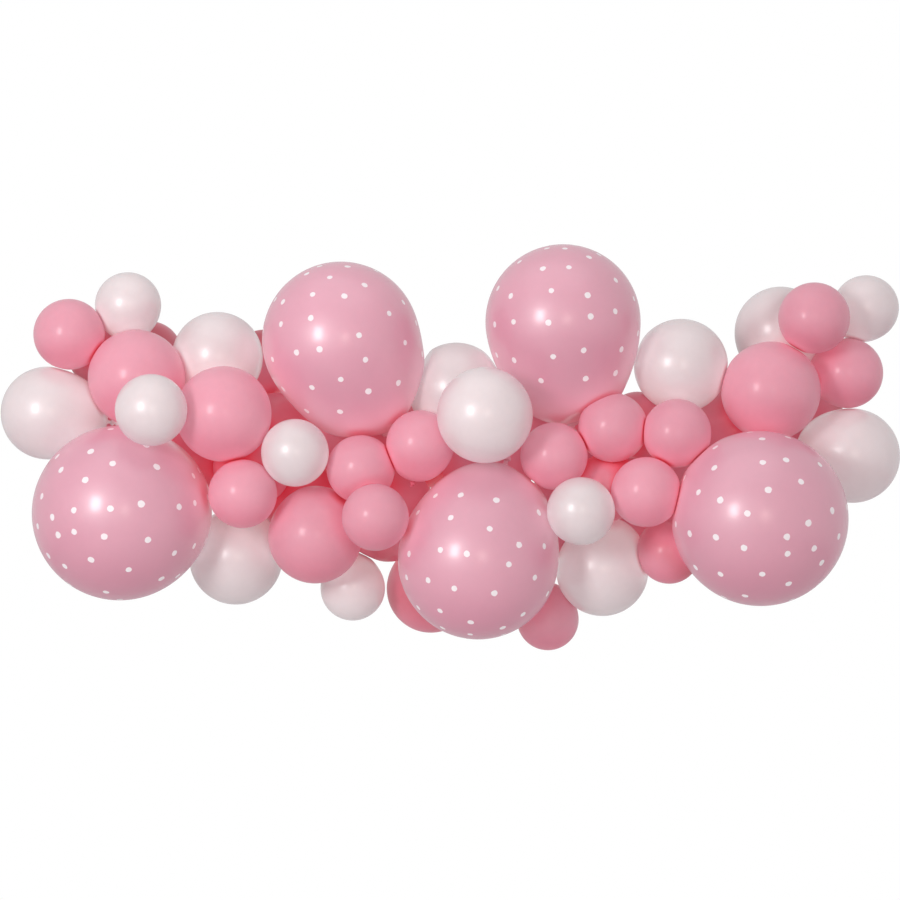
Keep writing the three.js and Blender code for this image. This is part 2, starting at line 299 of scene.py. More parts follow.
@dataclass
class Packing:
    """How the balloons press each other, and where the wall side is."""

    forms: list[Form]
    wall_side: float

    def flats(self, form: Form) -> list[Flat]:
        """The flats that the others press into one balloon.

        Args:
            form: the balloon.

        Returns:
            One flat for each neighbour that touches it, and one for the wall side.
        """
        found = [Flat(Vector((0, 1, 0)), self.wall_side - form.centre.y)]
        for other in self.forms:
            if other is form:
                continue
            way = other.centre - form.centre
            if way.length > 2 * (form.radius + other.radius):
                continue
            normal = way.normalized()
            mine = form.support(normal)
            squeeze = mine + other.support(-normal) + CONTACT_GAP - way.length
            if squeeze > 0:
                found.append(Flat(normal, mine - squeeze / 2))
        return found

    def closeness(self, form: Form, points: np.ndarray, outlook: np.ndarray) -> np.ndarray:
        """How much of each point's outlook its neighbours fill; the white ones count for less.

        Args:
            form: the balloon.
            points: points of its skin.
            outlook: the direction that each looks in.

        Returns:
            0 where nothing is near, up to 1 where a neighbour presses.
        """
        clear = np.ones(len(points))
        for other in self.forms:
            reach = 3 * form.radius + other.radius
            if other is form or (other.centre - form.centre).length > reach:
                continue
            away = np.array(other.centre) - points
            distance = np.linalg.norm(away, axis=1)
            size = np.clip(other.radius / distance, 0, 1)
            rise = (away * outlook).sum(1) / distance
            filled = np.clip((rise + size) / (1 + size), 0, 1) ** FILL_POWER * size**2
            clear *= 1 - filled * GAP_SHARE[other.dye]
        return 1 - clear


# ------------------------------------------------------------------------------ balloons


@dataclass(frozen=True)
class TiedEnd:
    """The tied end of a balloon: its neck, knot and rolled lip, about the tail's axis.

    Attributes:
        tip: where it starts along the axis.
        end: where the lip ends.
        shoulder: radius of the drawn-in neck where it starts.
        knot: radius of the knot.
        threaded: whether the neck goes through a hole of the strip.
    """

    tip: float
    end: float
    shoulder: float
    knot: float
    threaded: bool

    NECK = 0.8  # radius of a neck that isn't threaded, in shoulders
    FLARE = 0.1  # share of the length over which the shoulder narrows to the neck
    KNOT_STEPS = 8
    KNOT_FULLNESS = 0.7  # the lower, the fuller the knot's round
    LIP = 0.92  # the lip's radius, in knots
    ROLL = 0.16  # radius of the lip's roll, in lips
    ROLL_STEPS = 6
    TUBE = ((0.1, 0.45), (0.35, 0.52), (0.6, 0.72))  # from knot to lip: share of way, of radius

    def outline(self) -> Outline:
        """Draws half the outline, from the shoulder over the knot to the end on the axis.

        Returns:
            Its points, across and along the axis.
        """
        length = self.end - self.tip
        neck = THREADED_NECK if self.threaded else self.NECK * self.shoulder
        half = min(0.17 * length, 0.6 * self.knot)  # half the knot's length
        middle = self.end - (0.85 * self.knot if self.threaded else 0.5 * length)
        points = self._neck(neck, middle - half)
        points += self._knot(neck, middle, half)
        return points + self._lip(middle + half)

    def _neck(self, neck: float, knot_start: float) -> Outline:
        """Draws the stretch from the shoulder to the knot.

        Args:
            neck: radius of the neck.
            knot_start: where the knot starts along the axis.

        Returns:
            Its points.
        """
        flare_end = self.tip + self.FLARE * (self.end - self.tip)
        points = [(1.25 * self.shoulder, self.tip - 0.2 * MM), (1.1 * neck, flare_end)]
        reach = knot_start - flare_end
        return points + [(neck, flare_end + reach * share) for share in (0.35, 0.7, 0.95)]

    def _knot(self, neck: float, middle: float, half: float) -> Outline:
        """Draws the round of the knot, which bulges out of the neck.

        Args:
            neck: radius of the neck.
            middle: the knot's middle along the axis.
            half: half the knot's length.

        Returns:
            Its points.
        """
        points = []
        for step in range(1, self.KNOT_STEPS):
            angle = math.pi * step / self.KNOT_STEPS
            bulge = neck + (0.98 * self.knot - neck) * math.sin(angle) ** self.KNOT_FULLNESS
            points.append((bulge, middle - half * math.cos(angle)))
        return points

    def _lip(self, start: float) -> Outline:
        """Draws the tube that widens from the knot to the rolled lip, and the lip's hollow.

        Args:
            start: where the knot ends along the axis.

        Returns:
            Its points.
        """
        lip = self.LIP * self.knot
        roll = self.ROLL * lip
        rest = self.end - start
        points = [(lip * width, start + rest * share) for share, width in self.TUBE]
        for step in range(self.ROLL_STEPS + 1):
            angle = math.pi * (1.25 * step / self.ROLL_STEPS - 0.5)
            along = self.end - roll + roll * math.sin(angle)
            points.append((lip - roll + roll * math.cos(angle), along))
        return points + [(lip * 0.5, self.end - rest * 0.35), (0.0, self.end - rest * 0.5)]


@dataclass
class Balloon:
    """One balloon's skin, neck, knot and lip.

    Its mesh carries four attributes for the latex: each point's place on the round skin, how near
    it is to being pressed, how deep it lies among the others, and the balloon's own tone.
    """

    form: Form
    packing: Packing
    tone: float
    make: Make = field(init=False)

    PLACE = "print_place"
    CONTACT = "contact"
    SUNK = "sunk"
    TONE = "tone"

    SHOULDER = 1.9  # radius where the round skin ends and the tied end begins, in necks
    SMOOTH_NECK = 0.12  # share of the tied end that stays smooth
    LUMP = 0.12  # how lumpy the knot is
    WAVE = 0.05  # how wavy the lip is
    UNPRESSED = 0.5 * MM  # how far below the tied end the skin stays as it is
    SIDEWAYS = 0.001 * MM  # a point no further than this towards a flat is beside it
    FAR_OFF = 9.0  # a share of the way that presses nothing

    def __post_init__(self) -> None:
        """Looks up how its kind is made."""
        self.make = MAKES[self.form.kind]

    def build(self) -> bpy.types.Object:
        """Makes the balloon.

        Returns:
            Its object, with its attributes.
        """
        mesh = bmesh.new()
        self._spin(mesh)
        self._crumple(mesh)
        directions = self._press(mesh)
        turn = Vector((0, 0, 1)).rotation_difference(self.form.tail)
        bmesh.ops.transform(
            mesh,
            matrix=Matrix.Translation(self.form.centre) @ turn.to_matrix().to_4x4(),
            verts=mesh.verts,
        )
        piece = to_object(mesh, self.form.name)
        attribute = piece.data.attributes.new(self.PLACE, "FLOAT_VECTOR", "POINT")
        attribute.data.foreach_set("vector", directions.ravel())
        for name, values in self._shares(piece.data).items():
            attribute = piece.data.attributes.new(name, "FLOAT", "POINT")
            attribute.data.foreach_set("value", values)
        return piece

    def _shares(self, mesh: bpy.types.Mesh) -> dict[str, np.ndarray]:
        """Works out the attributes that hold one number for each point.

        Args:
            mesh: the finished mesh, in its place.

        Returns:
            Each attribute's numbers by its name.
        """
        points = np.array([vertex.co for vertex in mesh.vertices], float)
        outward = np.array([vertex.normal for vertex in mesh.vertices], float)
        sunk = self.packing.closeness(self.form, points, OPEN_SIDE)
        return {
            self.CONTACT: self.packing.closeness(self.form, points, outward),
            self.SUNK: sunk * np.clip(outward @ OPEN_SIDE / BACK_FADE + 1, 0, 1),
            self.TONE: np.full(len(points), self.tone),
        }

    def _spin(self, mesh: bmesh.types.BMesh) -> None:
        """Spins the outline round the tail's axis into a closed skin.

        Args:
            mesh: the empty mesh that takes it.
        """
        points = [mesh.verts.new((across, 0, along)) for across, along in self._outline()]
        edges = [mesh.edges.new(pair) for pair in zip(points, points[1:])]
        bmesh.ops.spin(
            mesh,
            geom=points + edges,
            cent=(0, 0, 0),
            axis=(0, 0, 1),
            dvec=(0, 0, 0),
            angle=math.tau,
            steps=self.make.around,
            use_merge=True,
            use_duplicate=False,
        )
        bmesh.ops.remove_doubles(mesh, verts=mesh.verts, dist=0.01 * MM)
        bmesh.ops.recalc_face_normals(mesh, faces=mesh.faces)
        for face in mesh.faces:
            face.smooth = True

    def _outline(self) -> Outline:
        """Draws half the outline, from the crown to the lip.

        Returns:
            Its points, across and along the tail's axis.
        """
        form, make = self.form, self.make
        tip = form.tip()
        last = math.pi - math.asin(self.SHOULDER * make.neck / tip)
        angles = math.pi - np.linspace(0, last, make.along + 1)
        skin = form.skin(np.cos(angles))
        body = list(zip(skin * np.sin(angles), skin * np.cos(angles)))
        body[0] = (0.0, body[0][1])
        return body + TiedEnd(tip, form.end, make.neck, make.knot, form.threaded).outline()

    def _crumple(self, mesh: bmesh.types.BMesh) -> None:
        """Makes the knot lumpy, two lumps to a turn, and the lip wavy, three waves to a turn.

        Args:
            mesh: the balloon about its own centre, its tail along +Z.
        """
        start = self.form.tip()
        length = self.form.end - start
        for vertex in mesh.verts:
            share = (vertex.co.z - start) / length
            if share <= self.SMOOTH_NECK:
                continue
            angle = math.atan2(vertex.co.y, vertex.co.x)
            lump = 1 - self.LUMP * share * (1 + math.sin(2 * angle + 5 * share))
            vertex.co.x *= lump
            vertex.co.y *= lump * (1 - self.LUMP * math.sin(3 * angle))
            vertex.co.z -= self.WAVE * length * share * (1 + math.sin(3 * angle + 1))

    def _press(self, mesh: bmesh.types.BMesh) -> np.ndarray:
        """Draws the skin in behind each flat, with a rounded edge.

        Args:
            mesh: the balloon about its own centre, its tail along +Z.

        Returns:
            The unit direction of each point from the centre before it is pressed.
        """
        turn = Vector((0, 0, 1)).rotation_difference(self.form.tail).inverted()
        points = np.array([vertex.co for vertex in mesh.verts], float)
        lengths = np.linalg.norm(points, axis=1)
        directions = points / lengths[:, None]
        keep = np.ones(len(points))
        for flat in self.packing.flats(self.form):
            across = points @ np.array(turn @ flat.normal)
            ahead = np.maximum(across, self.SIDEWAYS)
            share = np.where(across > self.SIDEWAYS, flat.offset / ahead, self.FAR_OFF)
            blend = np.clip(CONTACT_ROUNDING - np.abs(keep - share), 0, None)
            keep = np.minimum(keep, share) - blend**2 / (4 * CONTACT_ROUNDING)
        keep[points[:, 2] >= self.form.tip() - self.UNPRESSED] = 1.0
        for vertex, point, share in zip(mesh.verts, points, keep):
            vertex.co = point * share
        return directions.astype(np.float32)


def to_object(mesh: bmesh.types.BMesh, name: str) -> bpy.types.Object:
    """Turns a bmesh into an object at the origin.

    Args:
        mesh: the shape, in the frame's own place; it is freed.
        name: the object's name.

    Returns:
        The new object, in the scene.
    """
    data = bpy.data.meshes.new(name + "_skin")
    mesh.to_mesh(data)
    mesh.free()
    piece = bpy.data.objects.new(name + "_skin", data)
    bpy.context.scene.collection.objects.link(piece)
    return piece


# ------------------------------------------------------------------------------ the strip


@dataclass
class Strip:
    """The punched strip: a thin band with round holes, whose route is read from its node.

    Attributes:
        width: how high the band is.
        pitch: from one large hole to the next.
        hole: radius of a large hole.
        small_hole: radius of a small one; two of them lie between large ones.
        small_aside: how far each lies from the middle between, as a share of the pitch.
        edge: how far the band's edges are rounded.
        steps: points along each edge of the band.
        hole_steps: points round a large hole.
        small_steps: points round a small one.
    """

    width: float = 14.0 * MM
    pitch: float = 52.0 * MM
    hole: float = 4.6 * MM
    small_hole: float = 1.9 * MM
    small_aside: float = 0.16
    edge: float = 0.25 * MM
    steps: int = 96
    hole_steps: int = 28
    small_steps: int = 16

    def build(self) -> bpy.types.Object:
        """Makes the strip.

        Returns:
            Its object.
        """
        low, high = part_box(STRIP_NODE)
        half = (high.x - low.x) / 2
        rise = high.z - low.z - self.width
        thickness = high.y - low.y

        def height(x: float) -> float:
            """Height of the strip's centre line at a place along it."""
            return low.z + self.width / 2 + rise * (x / half) ** 2

        curve = bpy.data.curves.new("strip_outline", "CURVE")
        curve.dimensions = "2D"
        curve.fill_mode = "BOTH"
        curve.extrude = thickness / 2 - self.edge
        curve.bevel_depth = self.edge
        curve.bevel_resolution = 2
        curve.offset = -self.edge
        places = np.linspace(-half, half, self.steps)
        above = [(x, height(x) + self.width / 2) for x in places]
        below = [(x, height(x) - self.width / 2) for x in places[::-1]]
        self._loop(curve, above + below)
        count = int(half / self.pitch - 0.5)  # large holes each side of the middle
        for index in range(-count, count):
            x = (index + 0.5) * self.pitch
            self._loop(curve, ring_points(x, height(x), self.hole, self.hole_steps))
            if index < count - 1:
                middle = x + self.pitch / 2
                for aside in (-self.small_aside, self.small_aside):
                    spot = middle + aside * self.pitch
                    ring = ring_points(spot, height(spot), self.small_hole, self.small_steps)
                    self._loop(curve, ring)
        return self._as_mesh(curve, (low.y + high.y) / 2)

    @staticmethod
    def _loop(curve: bpy.types.Curve, points: Outline) -> None:
        """Adds one closed outline to the curve.

        Args:
            curve: the flat curve.
            points: the outline's points, along the strip and in height.
        """
        spline = curve.splines.new("POLY")
        spline.points.add(len(points) - 1)
        for point, (x, z) in zip(spline.points, points):
            point.co = (x, z, 0, 1)
        spline.use_cyclic_u = True

    @staticmethod
    def _as_mesh(curve: bpy.types.Curve, depth: float) -> bpy.types.Object:
        """Turns the flat curve into an upright mesh.

        Args:
            curve: the flat curve.
            depth: where the middle of the strip's thickness lies.

        Returns:
            The strip's object.
        """
        flat = bpy.data.objects.new("strip_outline", curve)
        bpy.context.scene.collection.objects.link(flat)
        graph = bpy.context.evaluated_depsgraph_get()
        data = bpy.data.meshes.new_from_object(flat.evaluated_get(graph))
        bpy.data.objects.remove(flat)
        mesh = bmesh.new()
        mesh.from_mesh(data)
        bpy.data.meshes.remove(data)
        bmesh.ops.remove_doubles(mesh, verts=mesh.verts, dist=0.005 * MM)
        upright = Matrix.Translation((0, depth, 0)) @ Matrix.Rotation(math.pi / 2, 4, "X")
        bmesh.ops.transform(mesh, matrix=upright, verts=mesh.verts)
        bmesh.ops.recalc_face_normals(mesh, faces=mesh.faces)
        return to_object(mesh, STRIP_NODE)


def ring_points(x: float, z: float, radius: float, count: int) -> Outline:
    """Points round a circle.

    Args:
        x: its middle along the garland.
        z: its middle's height.
        radius: its radius.
        count: how many points.

    Returns:
        The points, as distance along and height.
    """
    turns = [math.tau * step / count for step in range(count)]
    return [(x + radius * math.cos(turn), z + radius * math.sin(turn)) for turn in turns]


# ------------------------------------------------------------------------------ shader maths


class Signal:
    """A shader socket that takes part in plain arithmetic.

    Each operator adds the Math node that it stands for to the socket's own node tree.
    """

    def __init__(self, recipe: "Recipe", socket: Optional[bpy.types.NodeSocket]) -> None:
        """Wraps a socket of a recipe's tree."""
        self.recipe = recipe
        self.socket = socket

    def math(self, operation: str, *others: Number, clamp: bool = False) -> "Signal":
        """Adds a Math node that starts from this value.

        Args:
            operation: the node's operation.
            others: its further values.
            clamp: whether its result is held between 0 and 1.

        Returns:
            The node's result.
        """
        values = dict(enumerate((self, *others)))
        settings = {"operation": operation, "use_clamp": clamp}
        return self.recipe.node("ShaderNodeMath", settings, values)

    def __add__(self, other: Number) -> "Signal":
        """This value and another."""
        return self.math("ADD", other)

    __radd__ = __add__

    def __sub__(self, other: Number) -> "Signal":
        """This value less another."""
        return self.math("SUBTRACT", other)

    def __rsub__(self, other: Number) -> "Signal":
        """Another value less this one."""
        return self.recipe.value_math("SUBTRACT", other, self)

    def __mul__(self, other: Number) -> "Signal":
        """This value times another."""
        return self.math("MULTIPLY", other)

    __rmul__ = __mul__

    def __truediv__(self, other: Number) -> "Signal":
        """This value over another."""
        return self.math("DIVIDE", other)

    def __rtruediv__(self, other: Number) -> "Signal":
        """Another value over this one."""
        return self.recipe.value_math("DIVIDE", other, self)

    def floor(self) -> "Signal":
        """The whole number below this value."""
        return self.math("FLOOR")

    def fade(self, low: float, high: float) -> "Signal":
        """Turns this value into a smooth step.

        Args:
            low: where the step starts; it is 0 from there down.
            high: where it ends; it is 1 from there up.

        Returns:
            The step.
        """
        values = {"Value": self, "From Min": low, "From Max": high}
        settings = {"interpolation_type": "SMOOTHSTEP"}
        return self.recipe.node("ShaderNodeMapRange", settings, values)


class Recipe:
    """The node tree of a material or of the air, and the one way that nodes are added to it."""

    def __init__(self, owner: Union[bpy.types.Material, bpy.types.World]) -> None:
        """Starts the owner's node tree afresh."""
        self.owner = owner
        owner.use_nodes = True
        self.tree = owner.node_tree
        self.tree.nodes.clear()

    @classmethod
    def material(cls, name: str) -> "Recipe":
        """Starts a new material of that name."""
        return cls(bpy.data.materials.new(name))

    def node(
        self,
        kind: str,
        settings: Optional[dict[str, object]] = None,
        values: Optional[dict[Union[int, str], object]] = None,
        output: Union[int, str] = 0,
    ) -> Signal:
        """Adds a node.

        Args:
            kind: the node's type.
            settings: its own properties.
            values: what its sockets hold, or the signals that are linked to them.
            output: which of its outputs is wanted.

        Returns:
            That output, or an empty signal from a node that ends the tree.
        """
        made = self.tree.nodes.new(kind)
        for key, setting in (settings or {}).items():
            setattr(made, key, setting)
        for key, value in (values or {}).items():
            if isinstance(value, Signal):
                self.tree.links.new(value.socket, made.inputs[key])
            else:
                made.inputs[key].default_value = value
        return Signal(self, made.outputs[output] if len(made.outputs) else None)

    def value_math(self, operation: str, *values: Number) -> Signal:
        """Adds a Math node whose first value may be a plain number."""
        return self.node("ShaderNodeMath", {"operation": operation}, dict(enumerate(values)))

    def attribute(self, name: str, output: str = "Vector") -> Signal:
        """Reads an attribute of the piece."""
        return self.node("ShaderNodeAttribute", {"attribute_name": name}, output=output)

    def place(self) -> Signal:
        """The point's place in the frame."""
        return self.node("ShaderNodeTexCoord", output="Object")

    def noise(self, size: float, detail: float = 2.0) -> Signal:
        """Cloudy noise whose clouds are about a size, in metres."""
        values = {"Vector": self.place(), "Scale": 1 / size, "Detail": detail}
        return self.node("ShaderNodeTexNoise", {}, values)

    def part(self, vector: Signal, index: int) -> Signal:
        """One of a vector's three parts."""
        return self.node("ShaderNodeSeparateXYZ", {}, {0: vector}, output=index)

    def mix(self, share: Number, one: object, other: object) -> Signal:
        """Mixes two colours.

        Args:
            share: how much of the other colour is taken.
            one: the colour at a share of 0.
            other: the colour at a share of 1.

        Returns:
            The mixed colour.
        """
        settings = {"data_type": "RGBA", "clamp_factor": True}
        values = {0: share, 6: one, 7: other}
        return self.node("ShaderNodeMix", settings, values, output=2)

    def scaled(self, colour: Signal, level: Signal) -> Signal:
        """A colour made brighter or darker by a level."""
        settings = {"operation": "SCALE"}
        return self.node("ShaderNodeVectorMath", settings, {0: colour, "Scale": level})

    def relief(self, height: Signal, strength: float, depth: float) -> Signal:
        """The normals of a fine relief.

        Args:
            height: its height, between 0 and 1.
            strength: how much of it shows.
            depth: what a height of 1 stands for, in metres.

        Returns:
            The normals.
        """
        values = {"Strength": strength, "Distance": depth, "Height": height}
        return self.node("ShaderNodeBump", {}, values)

    def surface(self, values: dict[Union[int, str], object]) -> bpy.types.Material:
        """Ends a material with the standard surface and gives the material back."""
        return self.finish(self.node("ShaderNodeBsdfPrincipled", {}, values))

    def finish(self, shader: Signal) -> Union[bpy.types.Material, bpy.types.World]:
        """Ends the tree.

        Args:
            shader: the shader that it ends with.

        Returns:
            The tree's owner.
        """
        end = "World" if isinstance(self.owner, bpy.types.World) else "Material"
        self.node(f"ShaderNodeOutput{end}", {}, {"Surface": shader})
        return self.owner


def opaque(colour: Colour) -> tuple[float, float, float, float]:
    """A colour with full alpha."""
    return (*colour, 1.0)


# ------------------------------------------------------------------------------ finishes


@dataclass(frozen=True)
class LatexFinish:
    """Blown latex: evenly dyed, thinner at the crown, denser at the neck; painted shade darkens
    it in the gaps and below, and a painted glow lights it where it is pressed.

    Attributes:
        name: the material's name.
        colour: the dyed latex where it is stretched.
        dense_and_underside_shade: the same latex where it is less stretched, at the neck and
            knot; the lower side also takes it as painted shade.
        gap_shade_colour: painted shade, the redder colour that the skin takes in the gaps and
            creases, as though lit only through and off its pink neighbours; the painted glow
            takes it there too.
        through: the colour of a painted glow where the skins press, standing in for light that
            comes through them.
        glow: the strength of that painted glow.
        roughness: how matt it is.
        ior: how strongly its pigment shines; pearl pigment shines most.
        coat: strength of the smooth outer shine.
        coat_roughness: how matt that shine is.
        scatter: share of the light that scatters in the skin.
        scatter_reach: how far each colour of light scatters, in metres.
        underside_shade: how much the lower side takes the denser colour, as painted shade for
            light that comes through the balloon from above.
        dots: whether it is printed with dots.
    """

    name: str
    colour: Colour
    dense_and_underside_shade: Colour
    gap_shade_colour: Colour
    through: Colour
    glow: float
    roughness: float
    ior: float
    coat: float
    coat_roughness: float
    scatter: float
    scatter_reach: Colour
    underside_shade: float
    dots: bool = False

    INK = (0.96, 0.86, 0.895)
    COAT_IOR = 1.5

    # Where each change of the skin sets in, and where it is full; all but the neck's are painted
    # shade and glow.
    NEAR = (0.15, 0.85)  # contact at which the painted glow sets in, standing in for light through the skins
    CREASE = (0.74, 0.98)  # contact at which two skins close on each other
    SHADE = (0.25, 0.60)  # depth among the others that light hardly reaches
    GAP = (0.50, 0.82)  # depth at which the painted shade in the gaps is full
    BELOW = (0.0, 0.95)  # how far the skin looks down
    NECK = (0.80, 1.0)  # cosine of the angle from the tail

    # How strong each change is.
    # Painted shade in the creases and on sunk skin, and how much the painted glow dims in the
    # creases.
    CREASE_SHADE = 0.85
    CREASE_DIMMING = 0.5
    SHADE_DIMMING = 0.4
    CLOUDINESS = 0.10
    MOTTLING = 0.05
    MATT_MOTTLING = 0.10
    MATT_WHERE_DENSE = 0.12
    MATT_INK = 0.12

    # Sizes of the clouds, the mottling and the grain, and the grain's relief.
    CLOUD = 90.0 * MM
    MOTTLE = 12.0 * MM
    GRAIN = 0.9 * MM
    GRAIN_STRENGTH = 0.035
    GRAIN_DEPTH = 0.4 * MM

    def material(self, turn: float = 0.0, seed: float = 0.0) -> bpy.types.Material:
        """Makes the material.

        Args:
            turn: how far the printed dots are turned about the balloon's axis.
            seed: which of the dots' random places are drawn.

        Returns:
            The material.
        """
        recipe = Recipe.material(f"{self.name}_{seed:.0f}" if self.dots else self.name)
        place = recipe.attribute(Balloon.PLACE)
        contact = recipe.attribute(Balloon.CONTACT, output="Fac")
        sunk = recipe.attribute(Balloon.SUNK, output="Fac")
        tone = recipe.attribute(Balloon.TONE, output="Fac")
        # Painted shade: the gaps and creases take a darker, redder colour, and sunk skin is
        # dimmed.
        near = contact.fade(*self.NEAR)
        crease = contact.fade(*self.CREASE)
        shade = sunk.fade(*self.SHADE) * (1.0 - near)
        gap_shade = sunk.fade(*self.GAP).math("MAXIMUM", shade)
        gap_shade = gap_shade.math("MAXIMUM", crease * self.CREASE_SHADE)
        # The neck's denser dye, and painted shade on the lower side.
        dense_and_underside_shade = self._dense_and_underside_shade(recipe, place, near)
        mottle = recipe.noise(self.MOTTLE) - 0.5
        colour = recipe.mix(dense_and_underside_shade, opaque(self.colour), opaque(self.dense_and_underside_shade))
        colour = recipe.mix(gap_shade, colour, opaque(self.gap_shade_colour))
        cloud = recipe.noise(self.CLOUD, detail=3.0) - 0.5
        thin = cloud * self.CLOUDINESS + mottle * self.MOTTLING
        colour = recipe.scaled(colour, (1.0 + thin) * tone * (1.0 - shade * self.SHADE_DIMMING))
        matt = self.roughness + mottle * self.MATT_MOTTLING + dense_and_underside_shade * self.MATT_WHERE_DENSE
        if self.dots:
            ink = DotPrint(turn=turn, seed=seed).mask(recipe, place)
            colour = recipe.mix(ink, colour, opaque(self.INK))
            matt = matt + ink * self.MATT_INK
        # Painted glow: emission standing in for light that comes through the pressed skins,
        # redder in the gaps.
        through = recipe.mix(gap_shade, opaque(self.through), opaque(self.gap_shade_colour))
        glow = near * (1.0 - crease * self.CREASE_DIMMING) * self.glow
        grain = recipe.noise(self.GRAIN)
        values = {
            "Base Color": colour,
            "Roughness": matt,
            "Normal": recipe.relief(grain, self.GRAIN_STRENGTH, self.GRAIN_DEPTH),
            "IOR": self.ior,
            "Subsurface Weight": self.scatter,
            "Subsurface Radius": self.scatter_reach,
            "Subsurface Scale": 1.0,
            "Coat Weight": self.coat,
            "Coat Roughness": self.coat_roughness,
            "Coat IOR": self.COAT_IOR,
            "Emission Color": recipe.scaled(through, glow),
            "Emission Strength": 1.0,
        }
        return recipe.surface(values)

    def _dense_and_underside_shade(self, recipe: Recipe, place: Signal, near: Signal) -> Signal:
        """How much of the denser colour is taken: full at the neck, where the dye is denser, and
        some on the lower side as painted shade.

        Args:
            recipe: the material's tree.
            place: each point's unit direction from the balloon's centre.
            near: how near each point is to being pressed.

        Returns:
            0 where the latex is stretched and lit, up to 1 at the neck.
        """
        outward = recipe.node("ShaderNodeNewGeometry", output="Normal")
        down = recipe.part(outward, 2) * -1.0
        # Painted shade: skin that looks down takes the denser colour.
        underside_shade = down.fade(*self.BELOW) * (1.0 - near) * self.underside_shade
        return recipe.part(place, 2).fade(*self.NECK).math("MAXIMUM", underside_shade)


@dataclass(frozen=True)
class DotPrint:
    """White dots printed in rings about the balloon's crown, a little out of line.

    Attributes:
        turn: how far the rings are turned about the axis.
        seed: which random places are drawn.
        ring_step: angle between rings.
        ring_turn: how far each ring is turned from the one above it.
        most: dots in a ring at the balloon's widest.
        thinning: how fast the rings' dots get fewer towards the crown.
        radius: a dot's radius as an angle seen from the balloon's centre.
        end: angle from the crown past which nothing is printed.
        off_place: range of a dot's place along its ring, as a share of the room it has.
        off_ring: range of its place across the ring, as a share of the ring step.
        size_range: range of its radius, as a share of it.
        wobble: how uneven its edge is.
        wobble_size: how long the edge's waves are.
        softness: width of its soft edge, as a share of its radius.
    """

    turn: float = 0.0
    seed: float = 0.0
    ring_step: float = math.radians(22.5)
    ring_turn: float = 2.4
    most: float = 13.0
    thinning: float = 0.7
    radius: float = math.radians(2.15)
    end: float = math.radians(139)
    off_place: float = 0.45
    off_ring: float = 0.42
    size_range: float = 0.16
    wobble: float = 0.35
    wobble_size: float = 6.0 * MM
    softness: float = 0.10

    WHOLE_TURNS = 8 * math.tau  # keeps the angles round a ring above zero
    END_FADE = 0.01

    def mask(self, recipe: Recipe, place: Signal) -> Signal:
        """How much ink covers each point.

        Args:
            recipe: the material's tree.
            place: each point's unit direction from the balloon's centre.

        Returns:
            1 on a dot and 0 elsewhere, with a soft edge.
        """
        x, y, z = (recipe.part(place, index) for index in range(3))
        down = (z * -1.0).math("MINIMUM", 1.0).math("ARCCOSINE")
        ring = (down / self.ring_step).floor()
        middle = (ring + 0.5) * self.ring_step
        share = middle.math("SINE").math("POWER", self.thinning)
        count = (share * self.most + 0.5).floor().math("MAXIMUM", 1.0)
        around = y.math("ARCTAN2", x) + ring * self.ring_turn + self.turn + self.WHOLE_TURNS
        around = around.math("MODULO", math.tau)
        cell = (around * count / math.tau).floor()
        place_draw, ring_draw, size_draw = self._draws(recipe, cell, ring)
        centre = (cell + 0.5 + (place_draw - 0.5) * self.off_place) * math.tau / count
        along = down - middle - (ring_draw - 0.5) * (self.off_ring * self.ring_step)
        across = (around - centre) * down.math("SINE")
        uneven = 1.0 + (recipe.noise(self.wobble_size, detail=1.0) - 0.5) * self.wobble
        away = (across * across + along * along).math("SQRT") * uneven
        edge = self.radius * (1.0 - self.size_range / 2 + size_draw * self.size_range)
        past_edge = (away - edge) / (self.softness * self.radius) + 0.5
        ink = 1.0 - past_edge.math("ADD", 0.0, clamp=True)
        return ink * (1.0 - down.fade(self.end, self.end + self.END_FADE))

    def _draws(self, recipe: Recipe, cell: Signal, ring: Signal) -> list[Signal]:
        """Draws three random numbers for each dot.

        Args:
            recipe: the material's tree.
            cell: the dot's number in its ring.
            ring: the ring's number.

        Returns:
            The three numbers, each between 0 and 1.
        """
        spot = recipe.node("ShaderNodeCombineXYZ", {}, {0: cell, 1: ring, 2: self.seed})
        settings = {"noise_dimensions": "3D"}
        draw = recipe.node("ShaderNodeTexWhiteNoise", settings, {"Vector": spot}, output="Color")
        return [
            recipe.node("ShaderNodeSeparateColor", {}, {0: draw}, output=index)
            for index in range(3)
        ]


